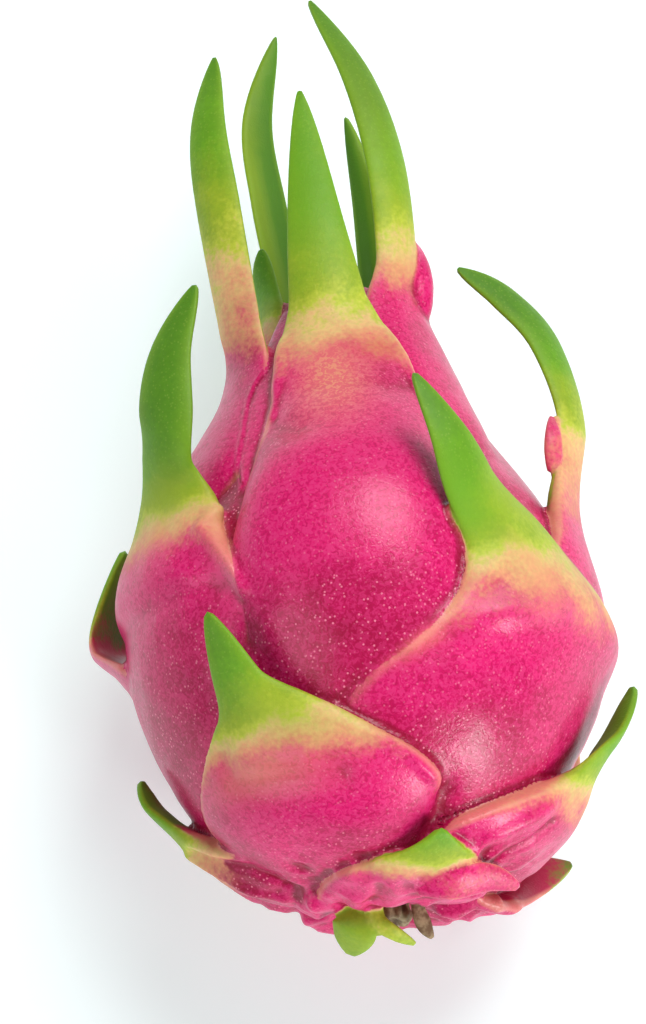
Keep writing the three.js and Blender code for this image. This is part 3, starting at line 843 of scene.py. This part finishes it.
def shape_skin(fruit):
    """Melt the skin together, deepen its creases, and add folds, pleats and gentle swelling."""
    points = points_of(fruit)
    edges = edges_of(fruit)
    places, notes = skin_notes(points)
    points, tongue = melted(points, edges, notes, places)
    set_points(fruit, points)

    normals = normals_of(fruit)
    body = 1 - tongue
    relief = np.einsum("ij,ij->i", points - averaged(points, edges, BROAD_ROUNDS), normals)
    crease = np.clip(relief, *CREASE_LIMITS) * CREASING
    swell = sum(height * noise_over(points, size, seed) for height, size, seed in SWELLS)
    near_stalk = smooth((PLEATED_ALONG - points[:, 1] - REST_ALONG) / PLEATS_FADE)
    around = np.arctan2(points[:, 0], points[:, 2] - AXIS_HEIGHT)
    pleats = np.sin(PLEATS * around + 2.5 * noise_over(points, 9, 3)) + 1
    pleats -= 4 * np.abs(noise_over(points, 5, 4))
    lifts = body * (crease + swell + fold_heights(points) + PLEAT_DEPTH * near_stalk * pleats)
    points = points + normals * lifts[:, None]
    points = lerp(points, averaged(points, edges, SOFT_ROUNDS), (body * near_stalk)[:, None])

    low, high = (np.array(corner) / MM for corner in cad_box)
    points = np.clip(points, low - BOX_SPARE, high + BOX_SPARE)
    points[:, 2] = np.maximum(points[:, 2], 0.0)
    set_points(fruit, points)


def note_skin(fruit):
    """Write what the skin's material reads into the mesh."""
    points, edges, normals = points_of(fruit), edges_of(fruit), normals_of(fruit)
    _, notes = skin_notes(points)
    # How hollow the skin is at each point; the material darkens the hollows with it as painted shade.
    hollow = 0.5
    for rounds, weight in HOLLOWS:
        depths = np.einsum("ij,ij->i", averaged(points, edges, rounds) - points, normals)
        hollow = hollow + depths * weight
    attribute(fruit, "hollow", clamp01(hollow))
    for name, column, rounds in (("greening", GREENING, 3), ("across", ACROSS, 0), ("inner", INNER, 2),
                                 ("down", DOWN, 3), ("woody", WOODY, 0)):
        attribute(fruit, name, averaged(notes[:, [column]], edges, rounds)[:, 0])
    # Some of these tones carry painted light, shade and highlight, as marked where the blushes are
    # listed.
    for tone in ("painted_light", "crimson", "pale", "salmon", "cream", "rust", "olive", "leaf"):
        strengths = blush_strengths(notes, tone)
        attribute(fruit, "blush_" + tone, averaged(strengths[:, None], edges, 4)[:, 0])


def make_fruit():
    pieces = [make_rind(), make_stub(STALK), make_stub(FLOWER_SCAR)]
    pieces += [make_pucker(row) for row in PUCKERS]
    pieces += [make_blade(row, leaflet_rings) for row in LEAFLETS]
    pieces += [make_blade(row, scale_rings) for row in SCALES]
    fruit = grow_together(pieces)
    fruit.name = "dragon_fruit"
    fruit.data.name = "dragon_fruit"
    shape_skin(fruit)
    triangles = len(triangles_of(fruit))
    if triangles > MOST_TRIANGLES:
        apply_modifier(fruit, "DECIMATE", ratio=MOST_TRIANGLES / triangles)
    note_skin(fruit)
    fruit.data.shade_smooth()
    return fruit


# ---- Materials ----


class Nodes:
    """Short calls for building a material's nodes."""

    def __init__(self, name):
        self.material = bpy.data.materials.new(name)
        self.material.use_nodes = True
        self.tree = self.material.node_tree
        self.shader = self.tree.nodes["Principled BSDF"]
        self.place = self.add("ShaderNodeTexCoord").outputs["Object"]

    def add(self, kind, inputs=None, **settings):
        node = self.tree.nodes.new(kind)
        for key, value in settings.items():
            setattr(node, key, value)
        self.fill(node, inputs or {})
        return node

    def fill(self, node, inputs):
        """Set a node's inputs, each to a value or to what another node gives out."""
        for key, value in inputs.items():
            socket = node.inputs[key]
            if isinstance(value, bpy.types.NodeSocket):
                self.tree.links.new(value, socket)
            elif isinstance(value, tuple) and socket.type == "RGBA":
                socket.default_value = value + (1.0,)
            else:
                socket.default_value = value

    def noise(self, size_mm, detail=2.0, distortion=0.0):
        inputs = dict(Vector=self.place, Scale=1 / (size_mm * MM), Detail=detail, Distortion=distortion)
        return self.add("ShaderNodeTexNoise", inputs).outputs["Fac"]

    def cells(self, size_mm):
        inputs = dict(Vector=self.place, Scale=1 / (size_mm * MM))
        return self.add("ShaderNodeTexVoronoi", inputs).outputs["Distance"]

    def read(self, name):
        return self.add("ShaderNodeAttribute", attribute_name=name).outputs["Fac"]

    def math(self, operation, a, b=0.0, clamp=False):
        return self.add("ShaderNodeMath", {0: a, 1: b}, operation=operation, use_clamp=clamp).outputs[0]

    def plus(self, a, b, clamp=False):
        return self.math("ADD", a, b, clamp)

    def times(self, a, b):
        return self.math("MULTIPLY", a, b)

    def span(self, value, low, high, to_low=0.0, to_high=1.0, kind="SMOOTHSTEP"):
        inputs = {0: value, 1: low, 2: high, 3: to_low, 4: to_high}
        return self.add("ShaderNodeMapRange", inputs, interpolation_type=kind).outputs[0]

    def mix(self, share, a, b, blend="MIX"):
        inputs = {0: share, 6: a, 7: b}
        return self.add("ShaderNodeMix", inputs, data_type="RGBA", blend_type=blend).outputs[2]

    def ramp(self, value, stops):
        node = self.add("ShaderNodeValToRGB", {0: value})
        elements = node.color_ramp.elements
        while len(elements) < len(stops):
            elements.new(0.5)
        for element, (position, colour) in zip(elements, stops):
            element.position = position
            element.color = colour + (1.0,)
        return node.outputs[0]

    def bump(self, height, strength, distance_mm):
        inputs = dict(Height=height, Strength=strength, Distance=distance_mm * MM)
        return self.add("ShaderNodeBump", inputs).outputs["Normal"]


CRIMSON = (0.30, 0.0004, 0.034)
MAGENTA = (0.51, 0.001, 0.090)
BRIGHT_PINK = (0.69, 0.005, 0.140)
GRAIN_AND_SHEEN_PINK = (0.75, 0.050, 0.22)
SPECKLE_PINK = (0.84, 0.22, 0.34)
PALE_PINK = (0.76, 0.12, 0.26)
SALMON = (0.74, 0.17, 0.16)
CREAM_ORANGE = (0.76, 0.33, 0.17)
CREAM = (0.74, 0.50, 0.19)
RUST = (0.58, 0.10, 0.04)
OLIVE = (0.31, 0.42, 0.014)
YELLOW_GREEN = (0.49, 0.55, 0.04)
LEAF_GREEN = (0.134, 0.340, 0.004)
DEEP_GREEN = (0.085, 0.245, 0.004)
EDGE_GREEN = (0.27, 0.45, 0.012)
INNER_GREEN = (0.08, 0.23, 0.006)
INNER_CRIMSON = (0.44, 0.004, 0.060)
DULL_GREEN = (0.55, 0.62, 0.50)
FRECKLE_GREEN = (0.44, 0.55, 0.10)
SHOULDER_PALE = (0.80, 0.36, 0.22)
WOOD_BROWN = (0.16, 0.09, 0.045)
WOOD_PALE = (0.36, 0.27, 0.15)
FLOOR_WHITES = ((0.76, 0.88, 0.88), (0.78, 0.90, 0.90))
FLOOR_GLOW = (0.97, 1.0, 1.0)

# How the skin turns from pink to green, by how far past cream it is, and the span that this covers.
GREENING_STOPS = ((-7, SALMON), (-3, CREAM_ORANGE), (0, CREAM), (3, YELLOW_GREEN), (6, OLIVE),
                  (16, LEAF_GREEN), (32, DEEP_GREEN))
GREENING_SPAN = (-10.0, 40.0)


def skin_material():
    n = Nodes("fruit_skin")
    greening, across, inner = n.read("greening"), n.read("across"), n.read("inner")
    down, woody, hollow = n.read("down"), n.read("woody"), n.read("hollow")
    edge = n.math("ABSOLUTE", across)

    # Pink: magenta with brighter and crimson drifts, and painted shade that darkens it
    # in the skin's hollows and towards the cushions' feet.
    depth = n.plus(n.span(hollow, 0.45, 0.95), n.span(down, 0.3, 0.8, 0.0, 0.4))
    depth = n.plus(depth, n.span(n.noise(22, detail=3), 0.3, 0.7, -0.25, 0.3))
    depth = n.plus(depth, n.span(n.noise(5, detail=3), 0.3, 0.7, -0.12, 0.12))
    # Painted light lifts the pink on the front pillow's left half; the crimson blush deepens it, partly
    # the skin's own crimson and partly painted shade.
    depth = n.math("SUBTRACT", depth, n.read("blush_painted_light"), clamp=True)
    depth = n.plus(depth, n.read("blush_crimson"), clamp=True)
    pink = n.ramp(depth, ((0.0, BRIGHT_PINK), (0.38, MAGENTA), (1.0, CRIMSON)))
    # The pale blush: paler skin on ridges and at the stalk, and on the right scale's ridge a painted
    # highlight.
    pink = n.mix(n.read("blush_pale"), pink, PALE_PINK)

    # A fine wormy grain, whose lighter worms are partly a painted sheen on the skin's fine bumps
    # and strongest where the pink is least shaded, and small pale speckles that are clearest where
    # the pink is darker.
    fine = n.noise(0.75, detail=1.5, distortion=1.0)
    grain = n.span(fine, 0.44, 0.60)
    grain_and_sheen_share = n.times(grain, n.span(depth, 0.0, 1.0, 0.48, 0.16, "LINEAR"))
    pink = n.mix(grain_and_sheen_share, pink, GRAIN_AND_SHEEN_PINK)
    pink = n.mix(n.span(fine, 0.46, 0.34, 0.0, 0.35), pink, CRIMSON)
    dots = n.span(n.cells(0.85), 0.14, 0.30, 1.0, 0.0)
    dust = n.span(n.noise(3.0, detail=2), 0.36, 0.56)
    speckle = n.times(dots, dust)
    clear = n.span(depth, 0.1, 0.7, 0.35, 0.85, "LINEAR")
    clear = n.times(clear, n.span(hollow, 0.75, 0.92, 1.0, 0.0))
    pink = n.mix(n.times(speckle, clear), pink, SPECKLE_PINK)
    # The salmon blush: the neck's pale skin, with a painted highlight in it.
    pink = n.mix(n.read("blush_salmon"), pink, n.mix(grain, SALMON, CREAM_ORANGE))

    # From pink through cream to green, with an uneven front, earlier along the margins.
    wander = n.plus(n.span(n.noise(7, detail=4), 0.25, 0.75, -3.0, 3.0, "LINEAR"),
                    n.span(n.noise(0.8, detail=1), 0.25, 0.75, -1.2, 1.2, "LINEAR"))
    margin = n.times(n.span(edge, 0.7, 1.0), n.span(greening, 12.0, -6.0, 0.0, 1.5))
    front = n.plus(n.plus(greening, wander), margin)
    low, high = GREENING_SPAN
    leafy = n.ramp(n.span(front, low, high, kind="LINEAR"),
                   [((stop - low) / (high - low), shade) for stop, shade in GREENING_STOPS])
    mottle = n.plus(n.span(n.noise(0.9, detail=2), 0.35, 0.65, -0.5, 0.5),
                    n.span(n.noise(6, detail=3), 0.3, 0.7, -0.5, 0.5))
    leafy = n.mix(n.span(mottle, -1.0, 1.0, 0.0, 0.30), leafy, DULL_GREEN, blend="MULTIPLY")
    freckles = n.times(n.span(n.cells(0.7), 0.12, 0.35, 1.0, 0.0), 0.14)
    leafy = n.mix(freckles, leafy, FRECKLE_GREEN)
    # Lighter yellow-green along the tongues' margins: partly their own paler margins, partly a painted
    # sheen.
    pale_edge_and_sheen = n.times(n.span(edge, 0.3, 1.0, 0.0, 0.35), n.span(greening, 5.0, 16.0))
    leafy = n.mix(pale_edge_and_sheen, leafy, EDGE_GREEN)
    leafiness = n.span(front, -10, -3)
    colour = n.mix(leafiness, pink, leafy)

    # Inside the tongues: crimson at the root, then dark green with a lighter rim.
    inside = n.mix(n.span(n.plus(greening, wander), -3.0, 3.0), INNER_CRIMSON, INNER_GREEN)
    rim = n.times(n.span(edge, 0.8, 1.0, 0.0, 0.8), n.span(greening, -1.0, 4.0))
    inside = n.mix(rim, inside, colour)
    colour = n.mix(n.times(inner, n.span(greening, -25, -15)), colour, inside)
    # The leaf tone on the flared tongue is painted light; the other tones here are the skin's own colour.
    for tone, shade in (("cream", CREAM_ORANGE), ("rust", RUST), ("olive", OLIVE), ("leaf", LEAF_GREEN)):
        colour = n.mix(n.read("blush_" + tone), colour, shade)

    # A pale line along the shoulders.
    shoulder = n.times(n.span(edge, 0.9, 0.99), n.span(down, 0.6, 0.3))
    shoulder = n.times(shoulder, n.span(greening, 0.0, -8.0))
    colour = n.mix(n.times(shoulder, 0.5), colour, SHOULDER_PALE)

    wood = n.mix(n.span(n.noise(1.4, detail=4), 0.35, 0.65), WOOD_BROWN, WOOD_PALE)
    colour = n.mix(n.span(woody, 0.3, 0.7), colour, wood)

    rough = n.span(n.noise(3, detail=3), 0.3, 0.7, 0.28, 0.36, "LINEAR")
    rough = n.plus(rough, n.times(leafiness, 0.24))
    rough = n.plus(rough, n.times(woody, 0.30))
    relief = n.plus(n.times(speckle, 0.25), fine)
    relief = n.plus(relief, n.times(n.noise(2.2, detail=3), 0.3))
    n.fill(n.shader, {
        "Base Color": colour,
        "Roughness": rough,
        "Specular IOR Level": 0.38,
        "Subsurface Weight": 0.06,
        "Subsurface Radius": (1.0, 0.3, 0.35),
        "Subsurface Scale": 0.002,
        "Normal": n.bump(relief, 0.5, 0.12),
    })
    return n.material


def floor_material():
    n = Nodes("pale_floor")
    n.fill(n.shader, {
        "Base Color": n.mix(n.noise(400, detail=2), *FLOOR_WHITES),
        "Roughness": 0.8,
        "Specular IOR Level": 0.1,
        "Emission Color": FLOOR_GLOW,
        "Emission Strength": 0.24,
    })
    return n.material


# ---- Floor, lights and camera ----

FRUIT_MIDDLE = (0.0, 0.02, 0.045)


def make_floor():
    floor = added("floor", bpy.ops.mesh.primitive_plane_add, size=8)
    floor.data.materials.append(floor_material())
    return floor


def soft_box(name, towards, distance, size, power):
    """A soft box that faces the fruit from a direction and a distance, in metres and watts."""
    place = Vector(FRUIT_MIDDLE) + Vector(towards).normalized() * distance
    light = added(name, bpy.ops.object.light_add, type="AREA", location=place)
    light.data.shape = "RECTANGLE"
    light.data.size, light.data.size_y = size
    light.data.energy = power
    light.rotation_euler = (-Vector(towards)).to_track_quat("-Z", "Y").to_euler()
    return light


def make_world():
    world = bpy.data.worlds.new("pale_room")
    world.use_nodes = True
    background = world.node_tree.nodes["Background"]
    background.inputs["Color"].default_value = (1.0, 1.0, 1.0, 1.0)
    background.inputs["Strength"].default_value = 0.25
    bpy.context.scene.world = world


def make_camera():
    """It looks steeply down on the fruit, a little from its stalk end, and is slightly rolled."""
    elevation, roll = math.radians(72), math.radians(-4)
    distance, per_pixel = 0.640, 0.00018
    shift_left, shift_up, picture_height = 39, 88, 1024  # in pixels
    middle = np.array([0.0, 0.006, 0.0432])
    back = np.array([0.0, -math.cos(elevation), math.sin(elevation)])
    right = np.array([1.0, 0.0, 0.0])
    up = np.cross(back, right)
    right, up = right * math.cos(roll) + up * math.sin(roll), up * math.cos(roll) - right * math.sin(roll)
    aim = middle - right * shift_left * per_pixel + up * shift_up * per_pixel
    view = bpy.data.cameras.new("camera")
    view.sensor_fit = "VERTICAL"
    view.sensor_height = 36
    view.lens = distance / per_pixel / picture_height * view.sensor_height
    view.clip_start = 0.01
    camera = bpy.data.objects.new("camera", view)
    bpy.context.scene.collection.objects.link(camera)
    turn = Matrix((right, up, back)).transposed().to_4x4()
    camera.matrix_world = Matrix.Translation(Vector(aim + back * distance)) @ turn
    bpy.context.scene.camera = camera


bpy.context.scene.view_settings.view_transform = "Standard"
make_world()
soft_box("top_light", (0.30, 0.46, 0.83), 0.9, (0.58, 0.50), 6.9)
soft_box("side_light", (0.62, -0.74, 0.27), 0.8, (0.15, 0.40), 4.1)
soft_box("left_fill", (-0.70, -0.38, 0.60), 1.2, (0.80, 0.80), 4.3)
make_floor()
make_camera()

fruit = make_fruit()
fruit.data.materials.clear()
fruit.data.materials.append(skin_material())
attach(fruit, "root")
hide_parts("fruit")
